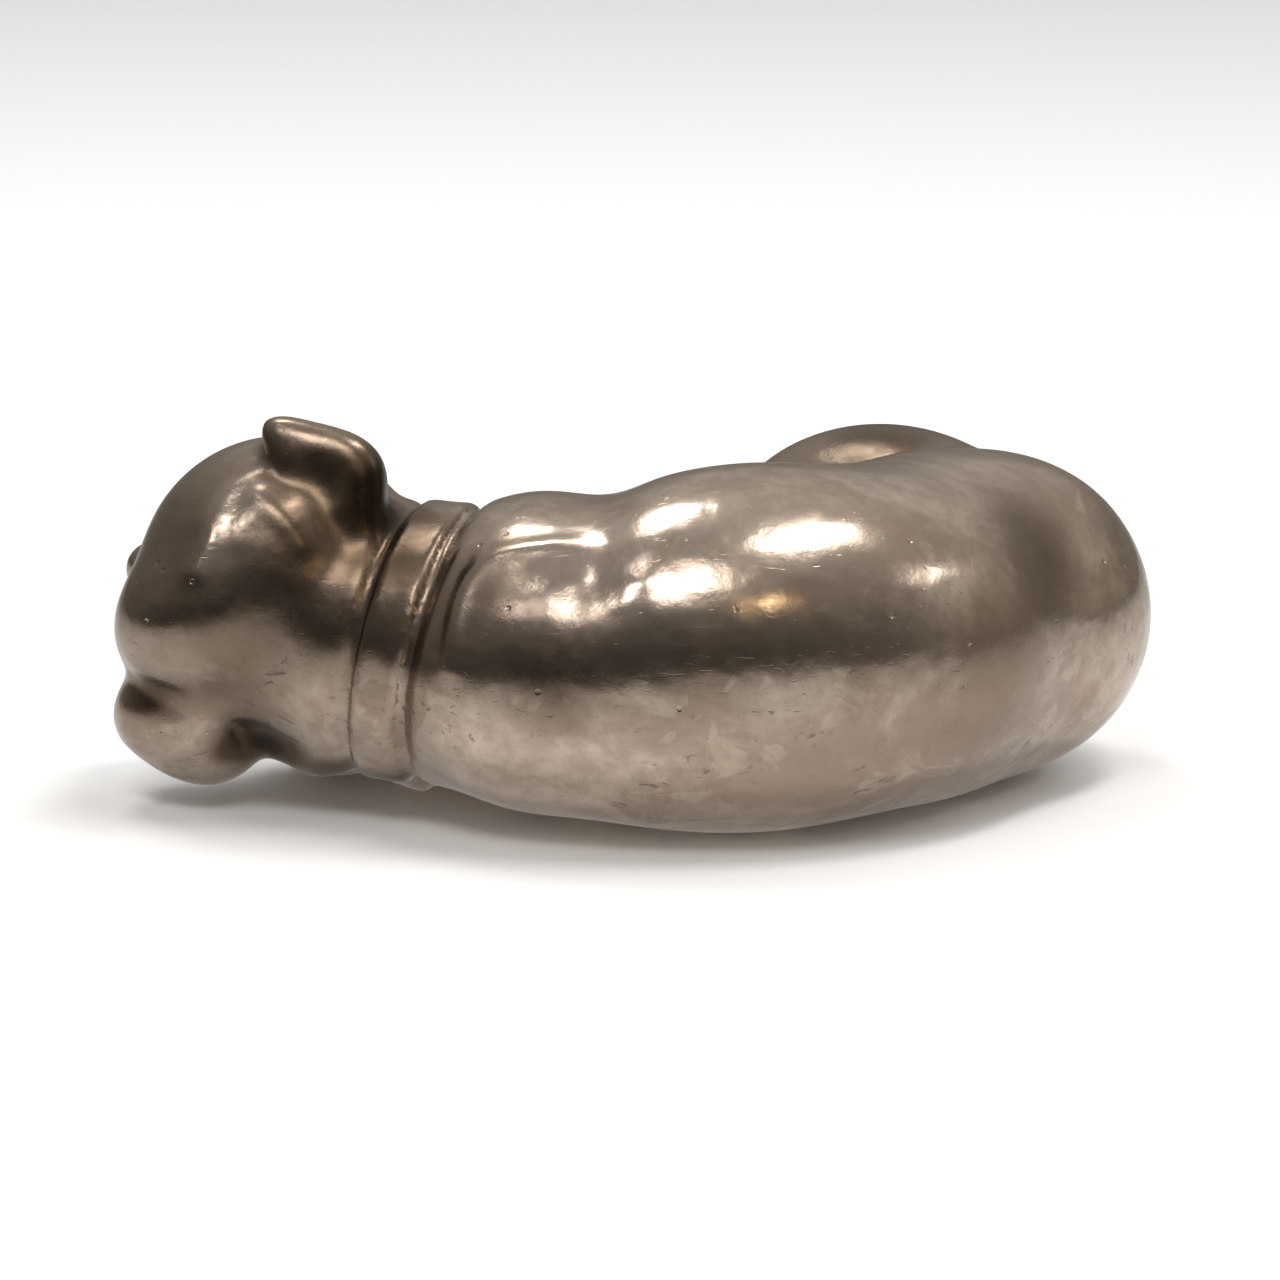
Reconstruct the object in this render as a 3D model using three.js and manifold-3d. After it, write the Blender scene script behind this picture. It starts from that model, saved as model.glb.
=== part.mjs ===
// A cast metal figurine of a puppy lying curled up asleep, in millimetres, +Z up.
// The dog and its collar are one casting, so the whole figure is one closed solid.
// It lies on the ground plane z = 0 with its head towards -X and its back towards -Y.
// Origin: the middle of the figure's outline seen from above, on the ground.

import * as THREE from 'three';
import { mergeVertices } from 'three/addons/utils/BufferGeometryUtils.js';
import Module from 'manifold-3d';

// Driving sizes.
const LENGTH = 90;                 // muzzle to rump
const COLLAR_WIDTH = 4;            // along the neck
const COLLAR_RISE = 0.5;           // how far the band stands off the neck
const COLLAR_DEPTH = 1.2;          // how far it is set into the neck
const NECK_PINCH = 0.5;            // how far the collar draws the neck in
const COLLAR_STEPS = 60;           // facets round the neck
const CELLS_ALONG = 47;            // facets along the whole figure
const SHORTEST_EDGE = 0.2;         // slivers narrower than this are closed up
const SETTLE_ROUNDS = 6;           // passes that slide a point onto a surface
const MARCH_STEPS = 60;            // passes that find the neck's skin from its middle

// The pose is free form, so it is given in shares of the length, this many to the whole of it.
const SHARES_ALONG = 91.03;
const SHARE = LENGTH / SHARES_ALONG;
const at = (x, y, z) => new THREE.Vector3(x, y, z).multiplyScalar(SHARE);
const POSE_LOW = at(-50, -18, -4);
const POSE_HIGH = at(50, 47, 38);
const CELL = LENGTH / CELLS_ALONG;
const PROBE = 0.02 * CELL;

// Axes for a turned form. Angles are in degrees.
const UP = new THREE.Vector3(0, 0, 1);
const turned = (yaw) => new THREE.Quaternion().setFromAxisAngle(UP, THREE.MathUtils.degToRad(yaw));

function axesFrom(x, y, z) {
  return new THREE.Quaternion().setFromRotationMatrix(new THREE.Matrix4().makeBasis(x, y, z));
}

// A flat form's axes: x along it, y across it, z out of its face.
function padAxes(along, face) {
  const x = along.clone().normalize();
  const z = face.clone().addScaledVector(x, -face.dot(x)).normalize();
  return axesFrom(x, z.clone().cross(x), z);
}

// The head's axes: x towards the nose, y to the dog's left, z to the crown.
function headAxes(yaw, pitch, roll) {
  const [a, b, c] = [yaw, pitch, roll].map(THREE.MathUtils.degToRad);
  const nose = new THREE.Vector3(-Math.cos(a) * Math.cos(b), Math.sin(a) * Math.cos(b), -Math.sin(b));
  const level = new THREE.Vector3(-Math.sin(a), -Math.cos(a), 0);
  const left = level.clone().applyAxisAngle(nose, c);
  return axesFrom(nose, left, nose.clone().cross(left));
}

// Fields: each is a function of a point that is negative inside the form, positive outside,
// and close to the distance from its surface.
const ROUND = new THREE.Quaternion();
const q = new THREE.Vector3();

function ellipsoid(centre, radii, axes = ROUND) {
  const back = axes.clone().invert();
  return (p) => {
    q.copy(p).sub(centre).applyQuaternion(back).divide(radii);
    const k = q.length();
    return (k * (k - 1)) / Math.max(q.divide(radii).length(), 1e-9);
  };
}

// A pad: an ellipsoid made squarer by a power above 2. Along its y it leans towards its -x and
// narrows, each by a share.
function pad(centre, radii, axes, { power, lean, taper }) {
  const back = axes.clone().invert();
  return (p) => {
    q.copy(p).sub(centre).applyQuaternion(back).divide(radii);
    q.x = (q.x + lean * q.y) / Math.max(1 - taper * q.y, 0.3);
    const k = (Math.abs(q.x) ** power + Math.abs(q.y) ** power + Math.abs(q.z) ** power) ** (1 / power);
    return (k * (k - 1)) / Math.max(q.divide(radii).length(), 1e-9);
  };
}

// A limb that tapers from one round end to the other.
function limb(from, to, fromRadius, toRadius) {
  const span = to.clone().sub(from);
  return (p) => {
    q.copy(p).sub(from);
    const t = THREE.MathUtils.clamp(q.dot(span) / span.lengthSq(), 0, 1);
    return q.addScaledVector(span, -t).length() - THREE.MathUtils.lerp(fromRadius, toRadius, t);
  };
}

// Union with a fillet about as wide as the blend, and the matching hollow.
function softMin(a, b, width) {
  const h = Math.max(width - Math.abs(a - b), 0) / width;
  return Math.min(a, b) - (h * h * h * width) / 6;
}

function join(width, ...fields) {
  return (p) => fields.map((f) => f(p)).reduce((a, b) => softMin(a, b, width * SHARE));
}

const hollow = (width, solid, cutter) => (p) => -softMin(-solid(p), cutter(p), width * SHARE);

function limbs(width, points, radii) {
  const spans = points.slice(1).map((end, i) =>
    limb(at(...points[i]), at(...end), radii[i] * SHARE, radii[i + 1] * SHARE));
  return join(width, ...spans);
}

// The back: a long barrel of ribs, the belly below it, loin, rump and shoulder, each easing
// into the next, bent into a C that opens away from the back.
function torso() {
  const ribs = ellipsoid(at(11, 1.2, 15.6), at(23.5, 15, 15.6), turned(8));
  const belly = ellipsoid(at(1.5, 1.3, 13.5), at(23, 14.1, 12.4), turned(4));
  const loin = ellipsoid(at(24, 10.5, 14.8), at(14, 14, 14.8));
  const rump = ellipsoid(at(31.6, 19, 14.4), at(14.5, 14.5, 14.2));
  const shoulder = ellipsoid(at(-8, 3.6, 14.8), at(11.4, 13.4, 13.4), turned(-15));
  return join(5, join(8, join(6, ribs, belly), loin, rump), shoulder);
}

// The thigh, drawn up beside the belly.
const thigh = () => ellipsoid(at(23, 27, 16.3), at(16.2, 10.3, 13.6), turned(-20));

// The head lies over on its right cheek, turned in along the curl of the body.
const HEAD_AT = at(-31.2, 10.2, 18.6);
const HEAD_AXES = headAxes(42, 24, 36);

function onHead(x, y, z) {
  return at(x, y, z).applyQuaternion(HEAD_AXES).add(HEAD_AT);
}

// A form of the head, and its twin on the other side.
function pair(x, y, z, radii) {
  return join(0.1, ...[1, -1].map((side) => ellipsoid(onHead(x, side * y, z), radii, HEAD_AXES)));
}

function head() {
  const middle = (x, z, radii) => ellipsoid(onHead(x, 0, z), radii, HEAD_AXES);
  const skull = join(3, middle(-0.6, 0.8, at(12.6, 12, 12.5)), middle(6, -1.9, at(8.5, 8.6, 8.3)));
  const cheeks = pair(1.8, 5.8, -5.5, at(8, 6.3, 6.8));
  const lips = join(2.5, pair(8.3, 2.6, -10.9, at(5.3, 4.2, 4.4)), middle(8.9, -7.8, at(5.6, 3.6, 4)));
  const muzzle = join(2, lips, middle(6.9, -13.4, at(5.1, 4, 2.8)));
  const nose = middle(14, -7.9, at(1.8, 2.7, 2));
  const brows = pair(10.4, 4.9, 2.4, at(3, 3.3, 2.5));
  const lids = pair(11.4, 4.7, -2, at(2, 2.7, 2));
  const throat = ellipsoid(at(-27, 7.2, 9.7), at(5, 7.4, 6.9));
  const face = join(2.4, join(0.7, join(3, join(4, skull, cheeks), muzzle), nose), brows);
  return join(2.5, join(1.4, face, lids), throat);
}

// One ear stands off the side of the head that shows, the other lies back on the far side.
// Each is a leaf with a cup pressed into its face, at a place given from the leaf's middle.
function ear(centre, axes, radii, outline, cup) {
  const cupAt = cup.place.applyQuaternion(axes).add(centre);
  return hollow(1, pad(centre, radii, axes, outline), ellipsoid(cupAt, cup.radii, axes));
}

function ears() {
  const raisedAxes = padAxes(at(-0.97, 0.2, 0.2), at(-0.4, -0.84, 0.36));
  const foldedAxes = padAxes(at(-0.4, 0.5, -0.77), at(0.45, 0.8, 0.35));
  const raised = ear(at(-25.7, 4.6, 28.2), raisedAxes, at(5, 5.5, 2.6),
    { power: 3.4, lean: 0.5, taper: 0.24 }, { place: at(0.8, -0.6, 4.9), radii: at(4.2, 4, 2.5) });
  const folded = ear(at(-25.8, 19.2, 22.4), foldedAxes, at(5.4, 4, 2.1),
    { power: 2.8, lean: 0, taper: 0 }, { place: at(0.2, 0.4, 3.6), radii: at(4.5, 3.1, 2.2) });
  return join(0.1, raised, folded);
}

// Neck, with the middle of the collar and the collar's axis, which points to the head.
const NECK_ROOT = at(-13, 5.5, 14.2);
const NECK_TOP = at(-27, 9.2, 15.4);
const COLLAR_AT = at(-18.3, 6.9, 14.6);
const COLLAR_AXIS = at(-14, 3.7, 2.7).normalize();
const NECK_CORE = 8 * SHARE;
const PINCH_REACH = 17 * SHARE;
const PINCH_FADE = 2 * SHARE;
const neck = () => limb(NECK_ROOT, NECK_TOP, 12.1 * SHARE, 11.9 * SHARE);

// Legs and tail, folded in on the far side. The paws and the body all reach just below the
// ground, so that dressing the underside flat gives each of them a small flat foot.
function paw(x, y, yaw) {
  return ellipsoid(at(x, y, 3), at(4.8, 3.7, 3.4), turned(yaw));
}

function legs() {
  const nearFore = join(1, limbs(1.5, [[-13, 8, 8], [-17, 11.5, 4.4], [-22.5, 16.5, 3.4]], [5, 4, 3.4]),
    paw(-26.8, 18.6, -25));
  const farFore = join(1, limbs(1.5, [[-5, 14, 8], [-9, 20, 4.6], [-18, 23.5, 3.4]], [5, 4, 3.4]),
    paw(-22.5, 25.8, -30));
  const hind = join(1, limbs(1.5, [[12, 30, 7], [28, 31.5, 4.6], [11, 35.5, 3.4]], [6.5, 4.4, 3.4]),
    paw(6.5, 35.4, 0));
  return join(1.8, nearFore, farFore, hind);
}

function tail() {
  const bones = [[37, 27, 6], [34.5, 33, 4.4], [28.5, 37.2, 3.2], [20, 39, 2.8], [11.5, 39.6, 2.5]];
  return limbs(1.2, bones, [4.6, 3.9, 3.4, 3.1, 2.7]);
}

function dog() {
  const body = join(2.5, join(2.2, torso(), thigh()), neck());
  const whole = join(1.2, join(2, body, head()), ears());
  return join(2.4, join(1.8, whole, legs()), tail());
}

// The neck is drawn in a little under the collar and just beside it.
function pinched(field) {
  return (p) => {
    const along = q.copy(p).sub(COLLAR_AT).dot(COLLAR_AXIS);
    const off = q.addScaledVector(COLLAR_AXIS, -along).length();
    const near = THREE.MathUtils.clamp((PINCH_REACH - off) / PINCH_FADE, 0, 1);
    return field(p) + NECK_PINCH * near * Math.exp(-((along / (0.75 * COLLAR_WIDTH)) ** 4));
  };
}

// The slope of a field at a point, by central differences.
function slope(field, p, out) {
  const probe = new THREE.Vector3();
  for (const axis of [0, 1, 2]) {
    const here = p.getComponent(axis);
    const ahead = field(probe.copy(p).setComponent(axis, here + PROBE));
    const behind = field(probe.copy(p).setComponent(axis, here - PROBE));
    out.setComponent(axis, (ahead - behind) / (2 * PROBE));
  }
  return out;
}

// Slides a point along the slope until it lies on the field's surface.
function settle(field, p) {
  const g = new THREE.Vector3();
  for (let round = 0; round < SETTLE_ROUNDS; round++) {
    const d = field(p);
    slope(field, p, g);
    p.addScaledVector(g, -THREE.MathUtils.clamp(d / Math.max(g.lengthSq(), 0.05), -CELL, CELL));
  }
}

// The twelve edges of a grid cell: the axis each runs along, and its steps across along the
// next two axes.
const edgeId = (axis, u, w) => axis * 4 + u + 2 * w;
const AXES = [0, 1, 2];
const SIDES = [0, 1];
const EDGES = AXES.flatMap((axis) => SIDES.flatMap((w) => SIDES.map((u) => ({ axis, u, w }))));
const FACES = AXES.flatMap((across) => SIDES.map((side) => ({ across, side })));
const SQUARE = [[1, 1], [0, 1], [0, 0], [1, 0]];

// Every whole-number point from the first step up to the counts.
function* eachPoint(first, [nx, ny, nz]) {
  for (let k = first; k < nz; k++) {
    for (let j = first; j < ny; j++) {
      for (let i = first; i < nx; i++) yield [i, j, k];
    }
  }
}

// Sorts the edges of one cell that the surface crosses into patches, each one sheet of the
// surface. Sheets are told apart face by face, in the same way from the cells on both sides.
function patchesOf(crossed, isInside) {
  const patch = [...EDGES.keys()];
  const unite = (a, b) => {
    const [from, to] = [patch[a], patch[b]];
    for (const edge of patch.keys()) {
      if (patch[edge] === from) patch[edge] = to;
    }
  };
  for (const { across, side } of FACES) {
    const [b, c] = [(across + 1) % 3, (across + 2) % 3];
    const onFace = SIDES.flatMap((step) => [edgeId(b, step, side), edgeId(c, side, step)])
      .filter((edge) => crossed[edge]);
    if (onFace.length === 2) unite(...onFace);
    if (onFace.length < 4) continue;
    for (const [i, j] of SQUARE) {
      const corner = [0, 0, 0];
      [corner[across], corner[b], corner[c]] = [side, i, j];
      if (isInside(corner)) unite(edgeId(b, j, side), edgeId(c, side, i));
    }
  }
  return patch;
}

// Wraps a field in facets: one vertex for each sheet of the surface in a grid cell, settled on
// the surface, and one four-sided face across each grid edge that the surface crosses.
function wrap(field, low, high) {
  const counts = high.clone().sub(low).divideScalar(CELL).ceil().addScalar(1).toArray();
  const steps = [1, counts[0], counts[0] * counts[1]];
  const index = (place) => place[0] * steps[0] + place[1] * steps[1] + place[2] * steps[2];
  const onGrid = (place) => new THREE.Vector3(...place).multiplyScalar(CELL).add(low);
  const value = [];
  for (const place of eachPoint(0, counts)) value.push(field(onGrid(place)));
  const points = [];
  const vertexAt = new Map();
  for (const cell of eachPoint(0, counts.map((n) => n - 1))) {
    const crossing = EDGES.map(({ axis, u, w }) => {
      const start = [...cell];
      start[(axis + 1) % 3] += u;
      start[(axis + 2) % 3] += w;
      const here = index(start);
      const [from, to] = [value[here], value[here + steps[axis]]];
      if ((from < 0) === (to < 0)) return null;
      start[axis] += from / (from - to);
      return { place: onGrid(start), key: here * 3 + axis };
    });
    if (!crossing.some(Boolean)) continue;
    const patch = patchesOf(crossing, (corner) => value[index(cell) + index(corner)] < 0);
    for (const name of new Set(patch.filter((_, edge) => crossing[edge]))) {
      const members = crossing.filter((edge, number) => edge && patch[number] === name);
      const vertex = members.reduce((sum, edge) => sum.add(edge.place), new THREE.Vector3());
      settle(field, vertex.divideScalar(members.length));
      for (const { key } of members) {
        if (!vertexAt.has(key)) vertexAt.set(key, new Map());
        vertexAt.get(key).set(index(cell), points.length);
      }
      points.push(vertex);
    }
  }
  const faces = [];
  for (const place of eachPoint(1, counts.map((n) => n - 1))) {
    const here = index(place);
    for (const axis of AXES) {
      const inside = value[here] < 0;
      if (inside === (value[here + steps[axis]] < 0)) continue;
      const around = vertexAt.get(here * 3 + axis);
      const [b, c] = [steps[(axis + 1) % 3], steps[(axis + 2) % 3]];
      const ring = SQUARE.map(([u, w]) => around.get(here - u * b - w * c));
      if (!inside) ring.reverse();
      const [p0, p1, p2, p3] = ring;
      const short = points[p0].distanceTo(points[p2]) < points[p1].distanceTo(points[p3]);
      faces.push(...(short ? [p0, p1, p2, p0, p2, p3] : [p1, p2, p3, p1, p3, p0]));
    }
  }
  const geometry = new THREE.BufferGeometry().setFromPoints(points);
  geometry.setIndex(faces);
  return geometry;
}

// How far the skin is from a point inside the form, along one direction: the first way out.
function skinRadius(field, from, out) {
  let radius = NECK_CORE;
  for (let step = 0; step < MARCH_STEPS; step++) {
    radius += Math.max(-field(from.clone().addScaledVector(out, radius)), 0);
  }
  return radius;
}

// The collar: a flat band round the neck that follows its skin all the way round.
function collar(field) {
  const across = new THREE.Vector3().crossVectors(UP, COLLAR_AXIS).normalize();
  const over = new THREE.Vector3().crossVectors(COLLAR_AXIS, across);
  const edge = COLLAR_WIDTH / 2;
  const section = [[edge, COLLAR_RISE], [edge, -COLLAR_DEPTH], [-edge, -COLLAR_DEPTH], [-edge, COLLAR_RISE]];
  const points = [];
  const faces = [];
  for (let step = 0; step < COLLAR_STEPS; step++) {
    const angle = (2 * Math.PI * step) / COLLAR_STEPS;
    const out = across.clone().multiplyScalar(Math.cos(angle)).addScaledVector(over, Math.sin(angle));
    section.forEach(([along, off], corner) => {
      const centre = COLLAR_AT.clone().addScaledVector(COLLAR_AXIS, along);
      points.push(centre.clone().addScaledVector(out, skinRadius(field, centre, out) + off));
      const [here, next] = [step * 4, ((step + 1) % COLLAR_STEPS) * 4];
      const turn = (corner + 1) % 4;
      faces.push(here + corner, next + turn, here + turn, here + corner, next + corner, next + turn);
    });
  }
  const geometry = new THREE.BufferGeometry().setFromPoints(points);
  geometry.setIndex(faces);
  return geometry;
}

// Joins and cuts.
const wasm = await Module();
wasm.setup();

function solid(geometry) {
  const clean = geometry.clone();
  clean.deleteAttribute('normal');
  clean.deleteAttribute('uv');
  const merged = mergeVertices(clean, 1e-4);
  return new wasm.Manifold(new wasm.Mesh({
    numProp: 3,
    vertProperties: new Float32Array(merged.attributes.position.array),
    triVerts: new Uint32Array(merged.index.array),
  }));
}

function geometryOf(body) {
  const mesh = body.getMesh();
  const geometry = new THREE.BufferGeometry();
  geometry.setAttribute('position', new THREE.BufferAttribute(mesh.vertProperties, 3));
  geometry.setIndex(new THREE.BufferAttribute(mesh.triVerts, 1));
  return geometry;
}

// Shrinks each edge shorter than the limit to its lower end, where that leaves the surface
// closed: its two ends must share just the two neighbours across it.
function shrunkOnce(points, faces, shortest) {
  const around = points.map(() => new Set());
  const edges = faces.flatMap(([a, b, c]) => [[a, b], [b, c], [c, a]]);
  for (const [a, b] of edges) {
    around[a].add(b);
    around[b].add(a);
  }
  const kept = [...points.keys()];
  const busy = new Set();
  for (const [a, b] of edges) {
    if (busy.has(a) || busy.has(b)) continue;
    if (points[a].distanceTo(points[b]) >= shortest) continue;
    const shared = [...around[a]].filter((i) => around[b].has(i));
    if (shared.length !== 2) continue;
    const [low, high] = points[a].z < points[b].z ? [a, b] : [b, a];
    kept[high] = low;
    for (const i of [a, b, ...around[a], ...around[b]]) busy.add(i);
  }
  return faces.map((face) => face.map((i) => kept[i]))
    .filter(([a, b, c]) => a !== b && b !== c && c !== a);
}

function withoutSlivers(geometry, shortest) {
  const { position } = geometry.attributes;
  const points = Array.from({ length: position.count },
    (_, i) => new THREE.Vector3().fromBufferAttribute(position, i));
  let faces = Array.from({ length: geometry.index.count / 3 },
    (_, i) => [...geometry.index.array.slice(3 * i, 3 * i + 3)]);
  let before = Infinity;
  while (faces.length < before) {
    before = faces.length;
    faces = shrunkOnce(points, faces, shortest);
  }
  const clean = new THREE.BufferGeometry().setFromPoints(points);
  clean.setIndex(faces.flat());
  return clean;
}

// The figure with its collar, and its underside dressed flat on the ground.
function figurine() {
  const field = pinched(dog());
  const aboveGround = new THREE.BoxGeometry(2 * LENGTH, 2 * LENGTH, LENGTH);
  aboveGround.translate(0, 0, LENGTH / 2);
  const cast = solid(wrap(field, POSE_LOW, POSE_HIGH))
    .add(solid(collar(field)))
    .intersect(solid(aboveGround));
  const geometry = withoutSlivers(geometryOf(cast), SHORTEST_EDGE);
  geometry.computeBoundingBox();
  const middle = geometry.boundingBox.getCenter(new THREE.Vector3());
  geometry.translate(-middle.x, -middle.y, 0);
  return geometry;
}

const silveredBronze = new THREE.MeshStandardMaterial({ color: 0x9a8b80, metalness: 1, roughness: 0.3 });

const figure = new THREE.Mesh(figurine(), silveredBronze);
figure.name = 'dog_figurine';

const group = new THREE.Group();
group.add(figure);
export default group;
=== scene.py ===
# %% [markdown]
# # A sleeping puppy in worn silver
# This lesson builds a small cast figure: a puppy curled up asleep, polished, handled and
# tarnished for many years. A plain faceted solid of it is loaded first. It gives the true size
# and place of everything. The fine surface, its finish and the studio are made around it.

import bpy
import numpy as np
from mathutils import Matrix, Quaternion, Vector


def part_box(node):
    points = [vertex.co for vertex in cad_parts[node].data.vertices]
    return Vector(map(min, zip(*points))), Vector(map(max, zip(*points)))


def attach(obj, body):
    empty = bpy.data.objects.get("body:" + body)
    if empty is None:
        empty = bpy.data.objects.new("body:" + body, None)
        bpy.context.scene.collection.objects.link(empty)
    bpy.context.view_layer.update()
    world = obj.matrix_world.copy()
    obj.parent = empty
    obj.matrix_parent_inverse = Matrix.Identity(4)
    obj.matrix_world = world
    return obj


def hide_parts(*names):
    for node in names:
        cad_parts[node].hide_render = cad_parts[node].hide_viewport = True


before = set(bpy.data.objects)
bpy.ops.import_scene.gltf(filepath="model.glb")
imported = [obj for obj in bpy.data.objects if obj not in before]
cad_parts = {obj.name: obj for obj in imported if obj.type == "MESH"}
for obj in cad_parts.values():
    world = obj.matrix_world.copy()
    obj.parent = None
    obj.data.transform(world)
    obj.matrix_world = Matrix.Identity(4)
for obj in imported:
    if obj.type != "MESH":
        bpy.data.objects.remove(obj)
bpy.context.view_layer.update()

# %% [markdown]
# ## A form as a field
# A body like this has no edges to draw and no single profile to turn. It could be sculpted by
# hand, or built from many patches with seams to hide. Here it is written as a field instead: a
# function of a point in space that is negative in the metal, positive in the air, and close to
# the distance from the skin. Two fields are joined by taking the smaller, and a soft minimum
# melts one form into the next, as clay does under a thumb. Lengths are in millimetres.

# %% Forms and how they melt together
def soft_min(a, b, width):
    """The smaller of two fields, rounded by a cubic where they are closer than the width."""
    closeness = np.maximum(width - np.abs(a - b), 0) / width
    return np.minimum(a, b) - closeness ** 3 * width / 6


def soft_max(a, b, width):
    """The larger of two fields, rounded in the same way: it cuts instead of joining."""
    return -soft_min(-a, -b, width)


def turned(yaw):
    """Axes turned by yaw degrees about the vertical, as the columns of a matrix."""
    c, s = np.cos(np.radians(yaw)), np.sin(np.radians(yaw))
    return np.array([[c, -s, 0], [s, c, 0], [0, 0, 1.0]])


def ellipsoid(p, centre, radii, axes=np.eye(3)):
    """With q the point in shares of the radii, k the length of q and g that of q over the
    radii, the field is k (k - 1) / g. It is nought where k is 1, and its slope there is 1."""
    q = (p - np.asarray(centre, float)) @ axes / np.asarray(radii, float)
    k = np.linalg.norm(q, axis=1)
    g = np.linalg.norm(q / np.asarray(radii, float), axis=1)
    return k * (k - 1) / np.maximum(g, 1e-9)


def pad(p, centre, radii, axes, lean=0.0, taper=0.0, power=2.8):
    """An ellipsoid made squarer: with x, y and z in shares of the radii, k is the root of the
    sum of their powers. Along y the pad leans towards -x and tapers, each by a share."""
    radii = np.asarray(radii, float)
    q = (p - np.asarray(centre, float)) @ axes / radii
    q[:, 0] = (q[:, 0] + lean * q[:, 1]) / np.maximum(1 - taper * q[:, 1], 0.3)
    k = (np.abs(q) ** power).sum(1) ** (1 / power)
    return k * (k - 1) / np.maximum(np.linalg.norm(q / radii, axis=1), 1e-9)


def limb(p, start, end, start_radius, end_radius):
    """The distance to the nearest point of a line, less a radius that tapers along it."""
    start, end = np.asarray(start, float), np.asarray(end, float)
    span = end - start
    t = np.clip(((p - start) @ span) / (span @ span), 0, 1)
    radius = start_radius + (end_radius - start_radius) * t
    return np.linalg.norm(p - start - t[:, None] * span, axis=1) - radius


def limbs(p, points, radii, width):
    """A chain of limbs through the points, melted together at the joints."""
    spans = [limb(p, *pair) for pair in zip(points, points[1:], radii, radii[1:])]
    field = spans[0]
    for span in spans[1:]:
        field = soft_min(field, span, width)
    return field


def stroke(p, points, width):
    """1 on a line through the points, fading to nought as exp(-(distance / width) squared)."""
    return np.exp(-(np.maximum(limbs(p, points, [0] * len(points), 1e-6), 0) / width) ** 2)


def ramp(x, start, end):
    """0 before the start, 1 after the end, and an even slope between them."""
    return np.clip((x - start) / (end - start), 0, 1)


probe = np.array([[0.0, 0, 0], [2.0, 0, 0]])
print("field of a ball of 1 mm, at its middle and 1 mm outside:", ellipsoid(probe, (0, 0, 0), (1, 1, 1)))

# %% [markdown]
# ## The body
# Seen from above the puppy is a C. The back is the outside of it: a long barrel of ribs, then
# loin and rump, each one ellipsoid. They overlap a lot, so that the fillets between them are
# long and shallow, as on a fat puppy. The thigh lies beside the belly, and a crease parts it
# from the back.

# %% Trunk and thigh
def trunk(p):
    field = ellipsoid(p, (11, 1.2, 15.6), (23.5, 15, 15.6), turned(8))
    field = soft_min(field, ellipsoid(p, (1.5, 1.3, 13.5), (23, 14.1, 12.4), turned(4)), 6)
    field = soft_min(field, ellipsoid(p, (24, 10.5, 14.8), (14, 14, 14.8)), 8)
    field = soft_min(field, ellipsoid(p, (31.6, 19, 14.4), (14.5, 14.5, 14.2)), 8)
    return soft_min(field, ellipsoid(p, (-8, 3.6, 14.8), (11.4, 13.4, 13.4), turned(-15)), 5)


def thigh(p):
    return ellipsoid(p, (23, 27, 16.3), (16.2, 10.3, 13.6), turned(-20))


# %% [markdown]
# ## The head
# The head has axes of its own: x towards the nose, y to the dog's left, z to the crown. It is
# turned in along the curl, tipped down and rolled onto its right cheek. In those axes left and
# right are alike, so each cheek, brow and eyelid is written once and read at the point's
# distance from the middle plane.

# %% Head axes
def head_axes(yaw, pitch, roll):
    """Columns: the nose's direction, then across and up, rolled about the first."""
    a, b, c = np.radians([yaw, pitch, roll])
    nose = np.array([-np.cos(a) * np.cos(b), np.sin(a) * np.cos(b), -np.sin(b)])
    level = np.array([-np.sin(a), -np.cos(a), 0.0])
    left = level * np.cos(c) + np.cross(nose, level) * np.sin(c)
    return np.stack([nose, left, np.cross(nose, left)], 1)


def pad_axes(along, face):
    """Columns: along a flat form, across it, and out of its face."""
    along = np.asarray(along, float) / np.linalg.norm(along)
    face = np.asarray(face, float) - np.dot(face, along) * along
    face = face / np.linalg.norm(face)
    return np.stack([along, np.cross(face, along), face], 1)


HEAD = head_axes(42, 24, 36)
HEAD_AT = np.array([-31.2, 10.2, 18.6])
NEAR_EAR = pad_axes((-0.97, 0.2, 0.2), (-0.4, -0.84, 0.36))
NEAR_EAR_AT = np.array([-25.7, 4.6, 28.2])
FAR_EAR = pad_axes((-0.4, 0.5, -0.77), (0.45, 0.8, 0.35))
FAR_EAR_AT = np.array([-25.8, 19.2, 22.4])
print("the nose points along", HEAD[:, 0].round(2))


# %% Skull, muzzle and ears
def face(q, mirrored):
    """The head's forms in its own axes. The mirrored point stands for both sides at once."""
    skull = soft_min(ellipsoid(q, (-0.6, 0, 0.8), (12.6, 12, 12.5)),
                     ellipsoid(q, (6, 0, -1.9), (8.5, 8.6, 8.3)), 3)
    cheeks = ellipsoid(mirrored, (1.8, 5.8, -5.5), (8, 6.3, 6.8))
    lips = ellipsoid(mirrored, (8.3, 2.6, -10.9), (5.3, 4.2, 4.4))
    bridge = ellipsoid(q, (8.9, 0, -7.8), (5.6, 3.6, 4))
    chin = ellipsoid(q, (6.9, 0, -13.4), (5.1, 4, 2.8))
    muzzle = soft_min(soft_min(lips, bridge, 2.5), chin, 2)
    field = soft_min(soft_min(skull, cheeks, 4), muzzle, 3)
    field = soft_min(field, ellipsoid(q, (14, 0, -7.9), (1.8, 2.7, 2)), 0.7)
    field = soft_min(field, ellipsoid(mirrored, (10.4, 4.9, 2.4), (3, 3.3, 2.5)), 2.4)
    return soft_min(field, ellipsoid(mirrored, (11.4, 4.7, -2), (2, 2.7, 2)), 1.4)


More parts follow.
